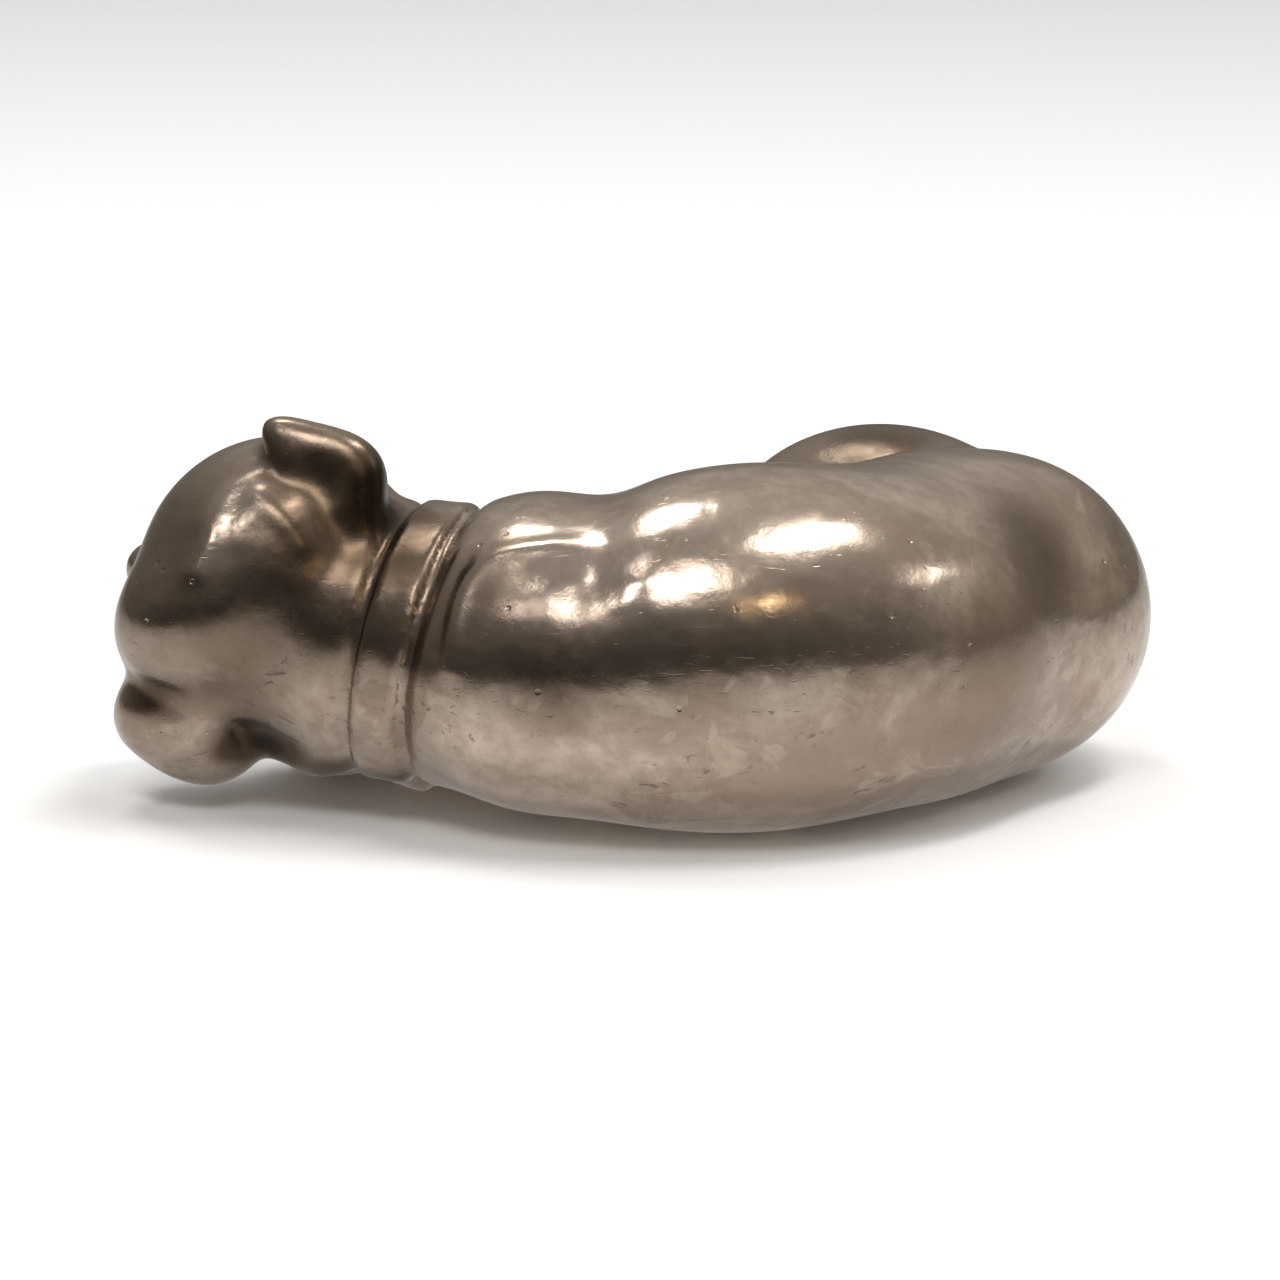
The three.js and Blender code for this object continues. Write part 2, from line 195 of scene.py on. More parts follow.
def face_lines(q, mirrored):
    """How far the chaser's lines are cut in: closed lids, nostrils, the parting of the lips and
    the split under the nose. Each is a stroke along a few points of the face."""
    lid_edge = [(12.4, 2.6, -3), (13.2, 4.2, -3.5), (12.5, 6.2, -3.3), (11, 7.4, -2.6)]
    lid = stroke(mirrored, lid_edge, 0.42)
    nostril = stroke(mirrored, [(15.5, 1.1, -7.9), (15.2, 1.9, -7.5)], 0.5)
    mouth = stroke(mirrored, [(14.5, 0.2, -11), (13.7, 1.6, -12)], 0.5)
    split = stroke(q, [(15.5, 0, -9.2), (14.1, 0, -11.4)], 0.4)
    stop = stroke(q, [(14.4, 0, 3), (13.6, 0, -1.5)], 1.3)
    return 0.5 * lid + 0.6 * nostril + 0.55 * mouth + 0.4 * split + 0.25 * stop


def ears(p):
    """Each ear is a pad with a bowl pressed into its face."""
    near = pad(p, NEAR_EAR_AT, (5, 5.5, 2.6), NEAR_EAR, lean=0.5, taper=0.24, power=3.4)
    near_bowl = ellipsoid(p, NEAR_EAR_AT + NEAR_EAR @ (0.8, -0.6, 4.9), (4.2, 4, 2.5), NEAR_EAR)
    far = pad(p, FAR_EAR_AT, (5.4, 4, 2.1), FAR_EAR)
    far_bowl = ellipsoid(p, FAR_EAR_AT + FAR_EAR @ (0.2, 0.4, 3.6), (4.5, 3.1, 2.2), FAR_EAR)
    return np.minimum(soft_max(near, -near_bowl, 1), soft_max(far, -far_bowl, 1))


def head(p):
    q = (p - HEAD_AT) @ HEAD
    mirrored = q.copy()
    mirrored[:, 1] = np.sqrt(q[:, 1] ** 2 + 0.05)
    field = face(q, mirrored) + face_lines(q, mirrored)
    field = soft_min(field, ellipsoid(p, (-27, 7.2, 9.7), (5, 7.4, 6.9)), 2.5)
    return soft_min(field, ears(p), 1.2)


# %% [markdown]
# ## Legs, toes and tail
# The legs are folded in on the side that the curl shelters. They are chains of tapering limbs
# that end in paws. The tail comes round the rump and lies along the hind leg. Toes are parted by
# short strokes cut over the front of each paw.

# %% Legs and tail
FORE_PAW = (4.8, 3.7, 3.4)
HIND_PAW = (5, 3.8, 3.4)
PAW_HEIGHT = 3.0
PAWS = [((-26.8, 18.6), -25, FORE_PAW), ((-22.5, 25.8), -30, FORE_PAW), ((6.5, 35.4), 0, HIND_PAW)]


def paw(p, place, yaw, radii):
    """An ellipsoid that points along its own -x, with three grooves fanned over its front."""
    q = (p - np.array([*place, PAW_HEIGHT])) @ turned(yaw)
    field = ellipsoid(q, (0, 0, 0), radii)
    for side in (-1, 0, 1):
        groove = [(-5.2, 1.9 * side, -1.5), (-4.6, 1.7 * side, 1.6), (-2.2, 1.2 * side, 3.2)]
        field = field + 0.5 * stroke(q, groove, 0.42)
    return field


def legs(p):
    near = limbs(p, [(-13, 8, 8), (-17, 11.5, 4.4), (-22.5, 16.5, 3.4)], [5, 4, 3.4], 1.5)
    far = limbs(p, [(-5, 14, 8), (-9, 20, 4.6), (-18, 23.5, 3.4)], [5, 4, 3.4], 1.5)
    hind = limbs(p, [(12, 30, 7), (28, 31.5, 4.6), (11, 35.5, 3.4)], [6.5, 4.4, 3.4], 1.5)
    near, far, hind = (soft_min(leg, paw(p, *shape), 1) for leg, shape in zip((near, far, hind), PAWS))
    return soft_min(soft_min(near, far, 1.8), hind, 1.8)


def tail(p):
    bones = [(37, 27, 6), (34.5, 33, 4.4), (28.5, 37.2, 3.2), (20, 39, 2.8), (11.5, 39.6, 2.5)]
    return limbs(p, bones, [4.6, 3.9, 3.4, 3.1, 2.7], 1.2)


# %% [markdown]
# ## Neck, collar and the folds beside it
# The collar is a flat band cast in one with the neck. Everything about it is measured along its
# own axis, which points to the head: the band is raised a little, and a line is cut in on each
# side of it.

# %% Neck and collar
NECK_ROOT = np.array([-13, 5.5, 14.2])
NECK_TOP = np.array([-27, 9.2, 15.4])
COLLAR_AXIS = np.array([-14, 3.7, 2.7]) / np.linalg.norm([-14, 3.7, 2.7])
COLLAR_AT = np.array([-18.3, 6.9, 14.6])
COLLAR_HALF = 2.02
NECK_RADII = (15, 17)


def bump(x, width):
    """exp(-(x / width) squared): 1 at nought, fading either side."""
    return np.exp(-(x / width) ** 2)


def collar_relief(p):
    """How far the skin is cut in beside the collar, less how far it is raised on it."""
    off = p - COLLAR_AT
    along = off @ COLLAR_AXIS
    from_axis = np.linalg.norm(off - along[:, None] * COLLAR_AXIS, axis=1)
    near_neck = 1 - ramp(from_axis, *NECK_RADII)
    cuts = 0.36 * bump(along - 2.6, 0.65) + 0.5 * bump(along + 2.75, 0.85)
    band = 0.3 * ramp(COLLAR_HALF + 0.15 - np.abs(along), 0, 0.4)
    return near_neck * (cuts - band)


# %% [markdown]
# ## Folds of loose skin
# A puppy's skin is too big for it. Behind the collar it is pushed into a roll, which breaks over
# the shoulder in one crest and runs down the chest. A shallow valley parts the shoulder from the
# ribs. On the head soft ridges run over the temple and below the ear, and the skin folds in where
# the muzzle meets the cheek. The deepest hollow is under the jaw. The rump is filled out a little.
# Each one is a stroke along a few points of the skin, given as a depth in millimetres, a width
# and the points. It is cut in where its depth is positive and raised where it is negative.

# %% Folds
FOLDS = {
    "crest": (-0.28, 1.0, [(-3.6, -5.8, 25), (-6.6, -5.7, 25.9), (-10.9, -5.2, 25),
                           (-12.3, -5.3, 24.2), (-13.6, -6, 23.1), (-14.4, -6.8, 21.9),
                           (-14.8, -7.7, 20.4), (-15.1, -9.3, 16)]),
    "behind the roll": (0.14, 1.2, [(-13, -1, 26), (-13.9, -3.8, 24.4), (-15, -5.4, 22.6),
                                    (-16, -6.9, 20), (-16.3, -7.9, 17.6)]),
    "shoulder to ribs": (0.42, 3.2, [(-1.6, 2.3, 28.8), (-2.6, -6.4, 26.4), (-3.2, -10, 23)]),
    "temple": (-0.45, 1.2, [(-31.6, 4.2, 29.6), (-34.2, 3.8, 28.2), (-35.5, 2.1, 25.9), (-35.8, 1, 24.4),
                            (-36.8, -0.2, 22.3)]),
    "below the ear": (-0.4, 1.3, [(-31.2, 2.2, 28.2), (-29.8, 1.2, 27)]),
    "beside the ear": (-0.3, 0.9, [(-28.6, 0.4, 26), (-27.9, -0.2, 24.6)]),
    "cheek to muzzle": (0.3, 1.8, [(-42.6, 3.6, 12), (-40.6, 1.8, 11.5), (-39, 1.3, 11)]),
    "lip corner": (-0.7, 2.0, [(-36.8, 1.4, 10), (-35.3, 1.5, 9.3)]),
    "under the jaw": (1.9, 2.4, [(-33.3, 1.8, 6.1), (-31.8, 1.8, 6.3), (-30, 1.9, 5.4)]),
    "rump": (-0.5, 6, [(26, 17, 30), (33, 15, 29), (38, 14, 26)]),
}


def folds(p):
    """The sum of every fold's depth times its stroke."""
    return sum(depth * stroke(p, points, width) for depth, width, points in FOLDS.values())


print("folds:", ", ".join(FOLDS))

# %% The whole figure
def figure(p):
    """All the forms melted together, and the underside dressed flat at z = 0."""
    field = soft_min(soft_min(trunk(p), thigh(p), 2.2), limb(p, NECK_ROOT, NECK_TOP, 12.1, 11.9), 2.5)
    field = soft_min(field, head(p), 2)
    field = soft_min(soft_min(field, legs(p), 1.8), tail(p), 2.4)
    return np.maximum(field + collar_relief(p) + folds(p), -p[:, 2])


# %% [markdown]
# ## From field to mesh
# The skin is where the field is nought. A grid of small cells is laid over the figure, and every
# cell that the skin passes through gets one vertex. Wherever the skin crosses a grid line, the
# four cells round that line are joined by one face. Two tricks keep this quick and smooth. A
# coarse pass finds which part of the grid is anywhere near the skin, and the rest isn't worked
# out. Then each vertex slides down the slope of the field until it lies on the skin.

# %% Sample the field near the skin
CELL = 0.45
LOW = np.array([-46.5, -16.0, -1.0])
HIGH = np.array([48.5, 44.0, 36.0])
COARSE = 4
NEAR_SKIN = 1.6


def lattice(counts):
    """The whole-number places of a grid, as an array of the grid's own shape."""
    return np.stack(np.meshgrid(*[np.arange(n) for n in counts], indexing="ij"), -1)


def grid_points(counts, step):
    """All the points of a grid as rows, with the last axis running fastest."""
    return lattice(counts).reshape(-1, 3) * step + LOW


def sample(field):
    """The field on the fine grid. Further from the skin than 1.6 coarse cells it keeps the value
    of the nearest coarse point."""
    coarse_cell = CELL * COARSE
    counts = np.ceil((HIGH - LOW) / coarse_cell).astype(int) + 1
    value = field(grid_points(counts, coarse_cell) + CELL * (COARSE - 1) / 2).reshape(counts)
    for axis in range(3):
        value = np.repeat(value, COARSE, axis=axis)
    near = np.flatnonzero(np.abs(value).ravel() < NEAR_SKIN * coarse_cell)
    fine = value.ravel().copy()
    place = np.stack(np.unravel_index(near, value.shape), 1) * CELL + LOW
    fine[near] = field(place)
    print(len(near), "of", fine.size, "grid points worked out")
    return fine.reshape(value.shape)


# %% One vertex to a cell, one face to a crossing
def shifted(array, axis, offset, length):
    """The array without its first or last layer, so that neighbours line up."""
    return np.take(array, np.arange(offset, offset + length), axis=axis)


def wrap(value):
    """Vertices are the means of the crossings round each cell. Faces join four cells each, and
    turn so that they look from the metal to the air."""
    cells = np.array(value.shape) - 1
    total = np.zeros((*cells, 3))
    count = np.zeros(cells)
    corners = lattice(cells).astype(float)
    crossings = []
    for axis in range(3):
        b, c = (axis + 1) % 3, (axis + 2) % 3
        start = shifted(value, axis, 0, cells[axis])
        end = shifted(value, axis, 1, cells[axis])
        crossed = (start < 0) != (end < 0)
        share = np.where(crossed, start / np.where(crossed, start - end, 1), 0)
        crossings.append((crossed, start < 0))
        for u in (0, 1):
            for w in (0, 1):
                here = shifted(shifted(crossed, b, u, cells[b]), c, w, cells[c])
                part = shifted(shifted(share, b, u, cells[b]), c, w, cells[c])
                count += here
                for k, step in ((axis, part), (b, u), (c, w)):
                    total[..., k] += here * (corners[..., k] + step)
    used = count > 0
    number = np.full(tuple(cells), -1)
    number[used] = np.arange(used.sum())
    vertices = total[used] / count[used][:, None] * CELL + LOW
    faces = []
    for axis, (crossed, inside) in enumerate(crossings):
        b, c = (axis + 1) % 3, (axis + 2) % 3
        where = np.argwhere(crossed)
        at_b, at_c = where[:, b], where[:, c]
        where = where[(at_b > 0) & (at_c > 0) & (at_b < cells[b]) & (at_c < cells[c])]
        ring = []
        for u, w in ((1, 1), (0, 1), (0, 0), (1, 0)):
            cell = where.copy()
            cell[:, b] -= u
            cell[:, c] -= w
            ring.append(number[tuple(cell.T)])
        ring = np.stack(ring, 1)
        leaving = inside[tuple(where.T)]
        faces.append(np.where(leaving[:, None], ring, ring[:, ::-1]))
    return vertices, np.concatenate(faces)


def slope(field, p, here, step=0.02):
    """The direction in which the field grows fastest, by a small step along each axis."""
    return np.stack([(field(p + step * axis) - here) / step for axis in np.eye(3)], 1)


def settle(field, p, rounds=3):
    """Each round moves a point against the slope by the field over the slope's length."""
    for _ in range(rounds):
        here = field(p)
        g = slope(field, p, here)
        move = g * (here / np.maximum((g * g).sum(1), 0.05))[:, None]
        p = p - np.clip(move, -CELL / 2, CELL / 2)
    return p


value = sample(figure)
vertices, faces = wrap(value)
vertices = settle(figure, vertices)
vertices[:, 2] = np.maximum(vertices[:, 2], 0)
print(len(vertices), "vertices,", len(faces), "faces")
print("largest miss:", float(np.abs(figure(vertices)).max()), "mm")

# %% [markdown]
# ## How sheltered each point is
# Tarnish and polish gather in hollows, and hands wear the high places bright. The finish darkens
# the hollows by how sheltered they are, partly as dirt and partly as painted shade. A point just
# above the skin is as far from the metal as it was lifted, unless the skin folds up beside it. So
# the field itself says how sheltered a point is, and that number is stored on each vertex for the
# finish to read.

# %% Shelter as a number on each vertex
def shelter(field, p):
    """The mean over a few lifts of 1 - field(point lifted along the slope) / lift."""
    g = slope(field, p, field(p))
    outward = g / np.maximum(np.linalg.norm(g, axis=1), 1e-6)[:, None]
    lifts = (0.8, 2.0, 4.5)
    return np.mean([np.clip(1 - field(p + lift * outward) / lift, 0, 1) for lift in lifts], axis=0)


hollow = shelter(figure, vertices)
print("shelter, from the most open to the most hidden:", np.quantile(hollow, [0, 0.5, 0.9, 1]).round(2))

# %% [markdown]
# The tarnish isn't even either. It has been left alone on the head, the collar, the thigh and the
# top of the rump. It is rubbed away on the temple, the muzzle, the chest and the end of the rump,
# where the figure is picked up. The same spots also paint light and shade into the colour: nearly
# black painted shade in the hollow under the jaw, along the underside of the neck and on the side
# of the near ear, painted shade in the fold between cheek and muzzle and where the shoulder, collar,
# rump and thigh should mirror less, and lighter rubbed spots as painted reflection where the metal
# should mirror more. Those places are soft spots, and their sum is a second number on each vertex.

# %% Tarnish and painted light as a number on each vertex
# Head spots: tarnish on skull and cheek, painted shade in the fold between cheek and muzzle and on the side
# of the near ear, and lighter spots on the temple and muzzle that are partly wear and partly painted
# reflection.
HEAD_SPOTS = [((-33, 3, 24), 10, 0.85), ((-26, 2, 30), 7, 0.5), ((-37, 6, 14), 7, 0.6),
              ((-33, 2.5, 27), 3, -0.9), ((-34.5, -0.5, 23.5), 2.5, -0.5), ((-21, 3, 28.4), 3.2, 1.9),
              ((-32, 0, 12.5), 5, 0.35), ((-41.2, 3, 11), 2.4, 0.7), ((-38, 3, 5), 4, -0.45)]
# These spots are painted shade: near black in the hollow under the jaw and along the underside of the neck.
JAW_PAINTED_SHADE_SPOTS = [((-31.6, 4.4, 6), 3, 1.9), ((-35.1, 3.3, 6), 1.6, 0.9), ((-25.5, 2.5, 3.2), 2.6, 1.6),
             ((-20.5, 1.5, 3), 2.2, 1.4)]
# Neck spots darken the collar, partly tarnish and partly painted shade, and lighten the chest, partly wear
# and partly painted reflection.
NECK_SPOTS = [((-19, 0.5, 25.5), 5, 0.6), ((-21, -2, 21), 7, 0.55), ((-21, -4, 12.5), 3.5, 0.4),
              ((-17, -7, 9), 6, -0.4)]
# Body spots darken the shoulder, flank, rump and thigh, partly tarnish and partly painted shade; the one on
# the end of the rump lightens it, partly wear and partly painted reflection.
BODY_SPOTS = [((-8, -9, 21), 8, 0.45), ((-6, -12, 13.5), 4, 0.45), ((15, -14, 8), 9, 0.3),
              ((32, -6, 9), 13, 0.55), ((34, 5, 25), 7, 0.6), ((38, 6, 24), 10, 0.15),
              ((23, 26, 29), 8, 1.1), ((43, 12, 16), 7, -0.6)]
TARNISH_AND_PAINTED_LIGHT_SPOTS = HEAD_SPOTS + JAW_PAINTED_SHADE_SPOTS + NECK_SPOTS + BODY_SPOTS


def tarnish_and_painted_light_at(p):
    """The sum over the spots of strength times exp(-(distance / reach) squared)."""
    return sum(strength * np.exp(-((p - place) ** 2).sum(1) / reach ** 2)
               for place, reach, strength in TARNISH_AND_PAINTED_LIGHT_SPOTS)


tarnish = tarnish_and_painted_light_at(vertices)
print("tarnish from", tarnish.min().round(2), "to", tarnish.max().round(2))

# %% [markdown]
# The plain solid has the true size, so the mesh is scaled until it is as long as the solid, and
# moved until its middle is over the solid's. Both stand on the ground already. The fine figure
# then rides on the frame's root and takes the plain solid's place.

# %% Into the frame of the plain solid
low, high = vertices.min(0), vertices.max(0)
plain_low, plain_high = (np.array(corner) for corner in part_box("dog_figurine"))
scale = ((plain_high - plain_low) / (high - low))[0]
middle = (low + high) / 2 * [1, 1, 0]
placed = (vertices - middle) * scale + (plain_low + plain_high) / 2 * [1, 1, 0]
print("one unit of the pose is", scale * 1000, "mm; its middle is at", middle.round(3))
print("room above the ears:", plain_high[2] * 1000 - high[2] * scale * 1000)

mesh = bpy.data.meshes.new("sleeping_puppy")
mesh.from_pydata(placed, [], faces)
mesh.validate()
mesh.polygons.foreach_set("use_smooth", np.ones(len(mesh.polygons), bool))
mesh.attributes.new("shelter", "FLOAT", "POINT").data.foreach_set("value", hollow)
mesh.attributes.new("tarnish", "FLOAT", "POINT").data.foreach_set("value", tarnish)
puppy = bpy.data.objects.new("sleeping_puppy", mesh)
bpy.context.collection.objects.link(puppy)
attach(puppy, "root")
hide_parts("dog_figurine")

# %% [markdown]
# ## Shader sums in plain Python
# A finish is a chain of small sums. Written as nodes they are hard to read, so one small class
# wraps a socket and turns +, -, * and powers into Math nodes.

# %% Wires and finishes
class Wire:
    """One output of a node. Sums on it add Math nodes to its tree."""

    def __init__(self, finish, socket):
        self.finish = finish
        self.socket = socket

    def math(self, operation, *values):
        return self.finish.node("ShaderNodeMath", {"operation": operation}, dict(enumerate(values)))

    def __add__(self, other):
        return self.math("ADD", self, other)

    def __radd__(self, other):
        return self.math("ADD", other, self)

    def __sub__(self, other):
        return self.math("SUBTRACT", self, other)

    def __rsub__(self, other):
        return self.math("SUBTRACT", other, self)

    def __mul__(self, other):
        return self.math("MULTIPLY", self, other)

    def __rmul__(self, other):
        return self.math("MULTIPLY", other, self)

    def __pow__(self, other):
        return self.math("POWER", self, other)


class Finish:
    """A node tree with one way to add any node."""

    def __init__(self, tree):
        self.tree = tree
        tree.nodes.clear()

    def node(self, kind, settings=None, sockets=None, output=0):
        """Adds a node: its settings first, then the values or wires of its sockets."""
        made = self.tree.nodes.new(kind)
        for name, setting in (settings or {}).items():
            if name == "stops":
                self.set_stops(made.color_ramp, setting)
            else:
                setattr(made, name, setting)
        for name, content in (sockets or {}).items():
            if isinstance(content, Wire):
                self.tree.links.new(content.socket, made.inputs[name])
            else:
                made.inputs[name].default_value = content
        return Wire(self, made.outputs[output]) if len(made.outputs) else made

    def set_stops(self, color_ramp, stops):
        while len(color_ramp.elements) < len(stops):
            color_ramp.elements.new(1)
        for element, (position, shade) in zip(color_ramp.elements, stops):
            element.position = position
            element.color = (*shade, 1) if len(shade) == 3 else shade

    def blend(self, share, low, high):
        """The low colour where the share is 0, the high one where it is 1."""
        colours = [(*c, 1) if isinstance(c, tuple) and len(c) == 3 else c for c in (low, high)]
        return self.node("ShaderNodeMix", {"data_type": "RGBA"},
                         {0: share, 6: colours[0], 7: colours[1]}, output=2)

    def between(self, x, start, end, low=0.0, high=1.0):
        """Low before the start, high after the end, and smooth between them."""
        return self.node("ShaderNodeMapRange", {"interpolation_type": "SMOOTHSTEP"},
                         {0: x, 1: start, 2: end, 3: low, 4: high})


# %% [markdown]
# ## Worn, tarnished silver
# The figure is bronze with a thin silver skin. Three things make it look old. Broad warm clouds
# of tarnish drift over it, and a finer mottle like breath on a mirror breaks them up. The hollows
# go dark, partly with dirt and partly as painted shade, and nicks show low on the sides. The tarnish
# spots also paint shade and reflection into the colour. And the polish is never quite even:
# casting pits, hairline scratches and shallow waves disturb the reflections. Each of these is a
# mask between 0 and 1, and the colour is mixed from the cleanest silver down to the near black of
# dirt and painted shade.

# %% The silver finish
silver = bpy.data.materials.new("silvered_bronze")
silver.use_nodes = True
metal = Finish(silver.node_tree)
where = metal.node("ShaderNodeTexCoord", output="Object")
MM_PER_METRE = 1000


def mapped(vector, rotation=(0, 0, 0), scale=(1, 1, 1)):
    """A vector turned and stretched, so that what reads it can run along one direction."""
    return metal.node("ShaderNodeMapping", {"vector_type": "POINT"},
                      {"Vector": vector, "Rotation": rotation, "Scale": scale})


mm = mapped(where, scale=[MM_PER_METRE] * 3)


def noise(scale, detail=3.0, roughness=0.5, distortion=0.0, vector=mm):
    """Fractal noise whose largest features are about 1 / scale millimetres wide."""
    return metal.node("ShaderNodeTexNoise", {},
                      {"Vector": vector, "Scale": scale, "Detail": detail,
                       "Roughness": roughness, "Distortion": distortion})


hidden = metal.node("ShaderNodeAttribute", {"attribute_name": "shelter"}, output="Fac")
# The spot sum: tarnish and wear, and also painted shade and painted reflection.
stain_and_painted_light = metal.node("ShaderNodeAttribute", {"attribute_name": "tarnish"}, output="Fac")
clouds = metal.between(noise(0.085, 5, 0.6, 0.6) + stain_and_painted_light * 0.3, 0.4, 0.66)
mottle = metal.between(noise(0.42, 6, 0.66, 0.4), 0.36, 0.7)
islands = metal.between(noise(0.2, 4, 0.55, 1.2) - stain_and_painted_light * 0.2, 0.52, 0.57)
freckle = metal.between(noise(1.7, 3, 0.6), 0.6, 0.76)
# Darker in the hollows: partly dirt, partly painted shade.
dirt_and_painted_shade = metal.between(hidden, 0.3, 0.75)
knocks = mapped(mm, rotation=(0.2, -0.3, 0.5), scale=(0.35, 1.0, 0.8))
height_mm = metal.node("ShaderNodeSeparateXYZ", {}, {"Vector": mm}, output="Z")
nicks = (metal.between(noise(1.3, 4, 0.6, 0.8, vector=knocks), 0.6, 0.68)
         * metal.between(noise(0.14, 2, 0.5), 0.48, 0.58) * metal.between(height_mm, 13, 18, 1.0, 0.0))

# %% Its colour, from the cleanest silver to black dirt and painted shade
CLEAN_SILVER = (0.47, 0.395, 0.33)
CLOUDED_SILVER = (0.31, 0.245, 0.195)
RUBBED_SILVER = (0.52, 0.44, 0.36)
WARM_FILM = (0.27, 0.212, 0.165)
FRECKLE_BROWN = (0.13, 0.098, 0.074)
NICK_BROWN = (0.09, 0.068, 0.052)
# The tarnish brown is partly tarnish and partly painted shade; the black after it is painted shade, reached
# only under the jaw and neck and on the side of the near ear.
TARNISH_AND_PAINTED_SHADE_BROWN = (0.105, 0.074, 0.05)
PAINTED_SHADE_BLACK = (0.03, 0.021, 0.014)
DIRT_AND_SHADE_BLACK = (0.035, 0.024, 0.016)

bright = metal.blend(clouds, CLEAN_SILVER, CLOUDED_SILVER)
rubbed = metal.blend(islands * 0.4, bright, RUBBED_SILVER)
warm = metal.blend(mottle * 0.55, rubbed, WARM_FILM)
freckled = metal.blend(freckle * 0.3, warm, FRECKLE_BROWN)
nicked = metal.blend(nicks * 0.6, freckled, NICK_BROWN)
# Tarnish and painted shade from the spot sum: brown first, then near black where the spots paint the
# deepest shade.
tarnished_and_shaded = metal.blend(metal.between(stain_and_painted_light, 0.15, 1.1), nicked, TARNISH_AND_PAINTED_SHADE_BROWN)
shade_blackened = metal.blend(metal.between(stain_and_painted_light, 1.1, 2.0), tarnished_and_shaded, PAINTED_SHADE_BLACK)
# Last, the hollows go near black: dirt and painted shade.
colour = metal.blend(dirt_and_painted_shade * 0.85, shade_blackened, DIRT_AND_SHADE_BLACK)
print("the base colour runs from", RUBBED_SILVER, "to", PAINTED_SHADE_BLACK)

# %% Its polish and its small dents
streak = mapped(mm, rotation=(0.3, 0.2, 0.6), scale=(0.12, 1.0, 1.0))
scratch = metal.between(noise(3.2, 2, 0.5, vector=streak), 0.64, 0.74)
bubbles = metal.node("ShaderNodeTexVoronoi", {"feature": "F1"},
                     {"Vector": mm, "Scale": 0.55, "Randomness": 1.0})
pits = metal.between(bubbles, 0.06, 0.16, 1.0, 0.0) * metal.between(noise(0.11, 2), 0.54, 0.64)
roughness = (0.14 + clouds * 0.07 + mottle * 0.07 + dirt_and_painted_shade * 0.25 + freckle * 0.08 - islands * 0.03
             + metal.between(stain_and_painted_light, 0.3, 1.1) * 0.06)

height = (noise(0.16, 2) * 0.22 + noise(0.5, 4) * 0.03 + noise(2.4, 3) * 0.006
          - scratch * 0.005 - pits * 0.05 - nicks * 0.02)
relief = metal.node("ShaderNodeBump", {}, {"Height": height, "Distance": 1 / MM_PER_METRE, "Strength": 1.0})
shader = metal.node("ShaderNodeBsdfPrincipled", {},
                    {"Base Color": colour, "Metallic": 1.0, "Roughness": roughness, "Normal": relief})
metal.node("ShaderNodeOutputMaterial", {}, {"Surface": shader})
mesh.materials.append(silver)
print(len(silver.node_tree.nodes), "nodes in the silver finish")

# %% [markdown]
# ## The studio
# Polished metal has little colour of its own: it shows the room. Below its horizon the figure
# mirrors the white table. Just above it comes the dark far side of the room, then the paler
# ceiling with its lamps. So the sky that the metal mirrors is a ramp over the ray's height, a
# little lighter behind the figure and to its right, while the picture itself keeps a clean white
# ground. The table has two tones as well: the picture sees white paper, and the metal sees paper
# with a painted pool of light, brightest at the figure's foot, lighter to the right and falling off
# with distance, and a painted glow right at the foot.

# %% Table
TABLE_HALF = 2.5
table_mesh = bpy.data.meshes.new("table")
table_corners = np.array([(-1, -1, 0), (1, -1, 0), (1, 1, 0), (-1, 1, 0)]) * TABLE_HALF
table_mesh.from_pydata(table_corners, [], [(0, 1, 2, 3)])
table = bpy.data.objects.new("table", table_mesh)
bpy.context.collection.objects.link(table)
paper_material = bpy.data.materials.new("white_paper")
paper_material.use_nodes = True
paper = Finish(paper_material.node_tree)
spot = paper.node("ShaderNodeTexCoord", output="Object")
from_middle = paper.node("ShaderNodeVectorMath", {"operation": "LENGTH"}, {0: spot}, output="Value")
x_of_spot = paper.node("ShaderNodeSeparateXYZ", {}, {"Vector": spot}, output="X")
rightward = paper.node("ShaderNodeMath", {"operation": "MAXIMUM"}, {0: x_of_spot, 1: 0.0})
in_metal = paper.node("ShaderNodeLightPath", output="Is Glossy Ray")
towards_right = from_middle - rightward * 0.35
# As the metal sees it, the paper is a painted pool of light: brightest at the figure's foot, lighter to the
# right, darker with distance.
mirrored_paper = paper.node("ShaderNodeValToRGB", {"stops": [
    (0.03, (0.95, 0.94, 0.93)), (0.055, (0.72, 0.71, 0.69)), (0.12, (0.56, 0.55, 0.53)),
    (0.25, (0.4, 0.385, 0.365)), (0.7, (0.24, 0.225, 0.205))]}, {"Fac": towards_right})
# A painted glow on the paper right at the figure's foot, seen only in the metal.
bounce = paper.node("ShaderNodeValToRGB", {"stops": [
    (0.03, (0.22, 0.215, 0.21)), (0.042, (0.06, 0.06, 0.06)), (0.055, (0, 0, 0))]}, {"Fac": from_middle})
tone = paper.blend(in_metal, (0.97, 0.97, 0.965), mirrored_paper)
near_glow = paper.blend(in_metal, (0, 0, 0), bounce)
white = paper.node("ShaderNodeBsdfPrincipled", {},
                   {"Base Color": tone, "Roughness": 0.9, "Specular IOR Level": 0.1,
                    "Emission Color": near_glow, "Emission Strength": 1.0})
paper.node("ShaderNodeOutputMaterial", {}, {"Surface": white})
table_mesh.materials.append(paper_material)
print("a table", 2 * TABLE_HALF, "m wide")

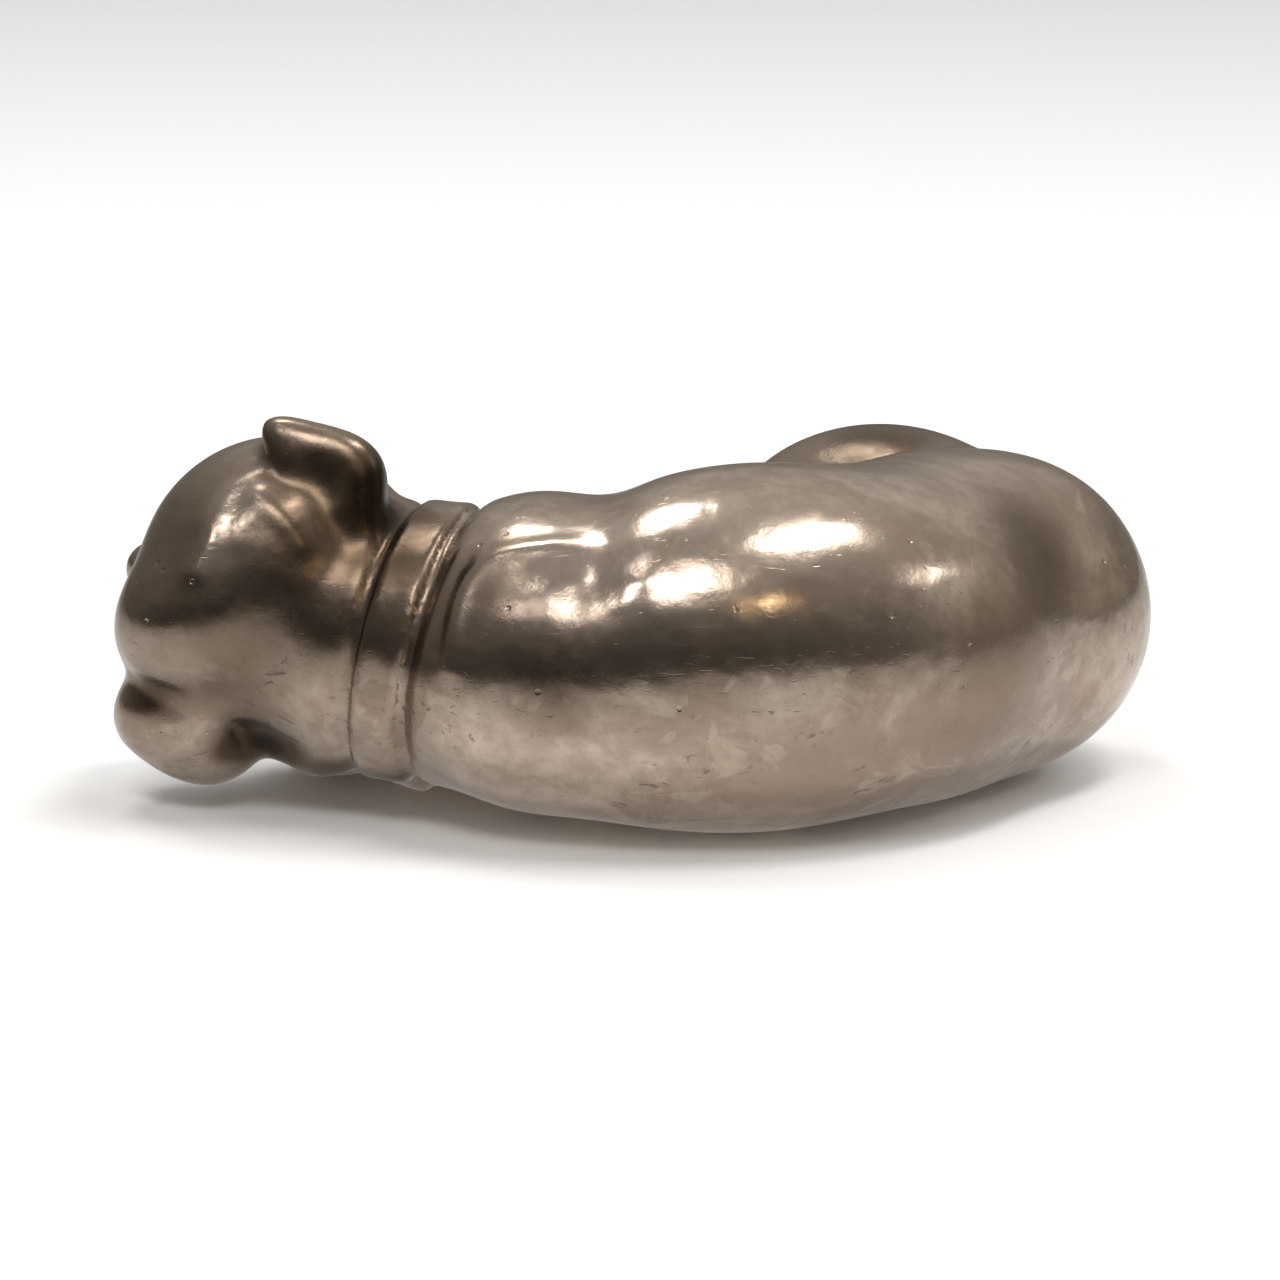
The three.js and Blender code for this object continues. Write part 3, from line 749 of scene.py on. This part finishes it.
# %% Room
world = bpy.data.worlds.new("room")
bpy.context.scene.world = world
world.use_nodes = True
room = Finish(world.node_tree)
direction = room.node("ShaderNodeTexCoord", output="Generated")
side, depth, rise = (room.node("ShaderNodeSeparateXYZ", {}, {"Vector": direction}, output=axis)
                     for axis in "XYZ")
sky = room.node("ShaderNodeValToRGB", {"stops": [
    (0.0, (0.155, 0.138, 0.115)), (0.25, (0.215, 0.198, 0.172)), (0.5, (0.45, 0.425, 0.39)),
    (0.85, (0.6, 0.58, 0.55)), (1.0, (0.7, 0.68, 0.65))]}, {"Fac": rise})
glow = room.between(side, 0.75, 1.0, 0.0, 0.9)
sky_strength = 1.0 + depth * 0.6 + side * 0.35 + glow
mirrored_room = room.node("ShaderNodeBackground", {}, {"Color": sky, "Strength": sky_strength})
clean_white = room.node("ShaderNodeBackground", {}, {"Color": (1, 1, 0.995, 1), "Strength": 1.0})
fill_light = room.node("ShaderNodeBackground", {}, {"Color": (1, 0.995, 0.99, 1), "Strength": 0.42})
is_mirror = room.node("ShaderNodeLightPath", output="Is Glossy Ray")
is_seen = room.node("ShaderNodeLightPath", output="Is Camera Ray")
lit = room.node("ShaderNodeMixShader", {}, {0: is_seen, 1: fill_light, 2: clean_white})
both = room.node("ShaderNodeMixShader", {}, {0: is_mirror, 1: lit, 2: mirrored_room})
room.node("ShaderNodeOutputWorld", {}, {"Surface": both})
print(len(world.node_tree.nodes), "nodes in the room")

# %% [markdown]
# ## The lamps
# In polished metal each lamp is a highlight with the lamp's own shape, so the lamps are placed by
# where their highlights fall: broad panels for the patches along the back, a small yellow lamp for
# the warm glint on the ribs, and small ones on the left for the head and the shoulder's crest. A
# wide sun that the metal doesn't mirror lays the soft shadow on the table.

# %% Lamps
LAMP_DISTANCE = 0.8
FIGURE_MIDDLE = Vector((0, 0, 0.015))
SOFT_WHITE = (1, 0.98, 0.96)
LAMP_YELLOW = (1, 0.78, 0.45)


def towards(azimuth, elevation):
    """A step of one from the figure. Azimuth 0 is the camera's side and 90 its right."""
    a, e = np.radians([azimuth, elevation])
    return Vector((np.sin(a) * np.cos(e), -np.cos(a) * np.cos(e), np.sin(e)))


def lamp(name, azimuth, elevation, size, radiance, colour, turn=0.0):
    """A soft lamp that looks at the figure, turned about its own line of sight. Its power is its
    radiance times pi times its area, so that lamps of unlike sizes look equally bright in metal."""
    place = LAMP_DISTANCE * towards(azimuth, elevation)
    light = bpy.data.lights.new(name, "AREA")
    light.shape = "ELLIPSE"
    light.size, light.size_y = size
    light.energy = radiance * np.pi * size[0] * size[1]
    light.color = colour
    holder = bpy.data.objects.new(name, light)
    holder.location = place
    facing = (FIGURE_MIDDLE - place).to_track_quat("-Z", "Y")
    facing.rotate(Quaternion(facing @ Vector((0, 0, 1)), np.radians(turn)))
    holder.rotation_euler = facing.to_euler()
    bpy.context.collection.objects.link(holder)
    print(name, "at", [round(x, 2) for x in place])


lamp("overhead_panel", 70, 72, (0.38, 0.14), 11, SOFT_WHITE, turn=-20)
lamp("rear_panel", -140, 66, (0.27, 0.24), 6, SOFT_WHITE)
lamp("front_panel", -18, 55, (0.36, 0.2), 6, SOFT_WHITE, turn=-20)
lamp("warm_lamp", 14, 38, (0.14, 0.05), 6, LAMP_YELLOW)
lamp("left_panel", -66, 62, (0.11, 0.05), 5, SOFT_WHITE)
lamp("small_lamp", -50, 50, (0.08, 0.06), 9, SOFT_WHITE)
lamp("side_lamp", 79, 39, (0.25, 0.045), 6, SOFT_WHITE)

wash = bpy.data.lights.new("window_wash", "SUN")
wash.energy = 0.9
wash.angle = np.radians(50)
window = bpy.data.objects.new("window_wash", wash)
window.rotation_euler = towards(115, 46).to_track_quat("Z", "Y").to_euler()
window.visible_glossy = False
bpy.context.collection.objects.link(window)

# %% [markdown]
# ## The camera
# The picture was taken with a long lens from a little above the table, level with the figure's
# back. Its distance, focal length and aim were worked out from the figure's outline.

# %% Camera
CAMERA_DISTANCE = 0.3757
ELEVATION = np.radians(13)
AIM = Vector((-0.0005, -0.0039, 0.01482))
camera_data = bpy.data.cameras.new("camera")
camera_data.sensor_width = 36
camera_data.lens = 122.9
camera_data.shift_x = 0.0059
camera_data.shift_y = -0.0086
camera_data.clip_start = 0.01
camera_data.clip_end = 20
camera = bpy.data.objects.new("camera", camera_data)
camera.location = AIM + CAMERA_DISTANCE * Vector((0, -np.cos(ELEVATION), np.sin(ELEVATION)))
camera.rotation_euler = (AIM - camera.location).to_track_quat("-Z", "Y").to_euler()
bpy.context.collection.objects.link(camera)
bpy.context.scene.camera = camera
bpy.context.scene.view_settings.view_transform = "Standard"
print("camera at", [round(x, 3) for x in camera.location])
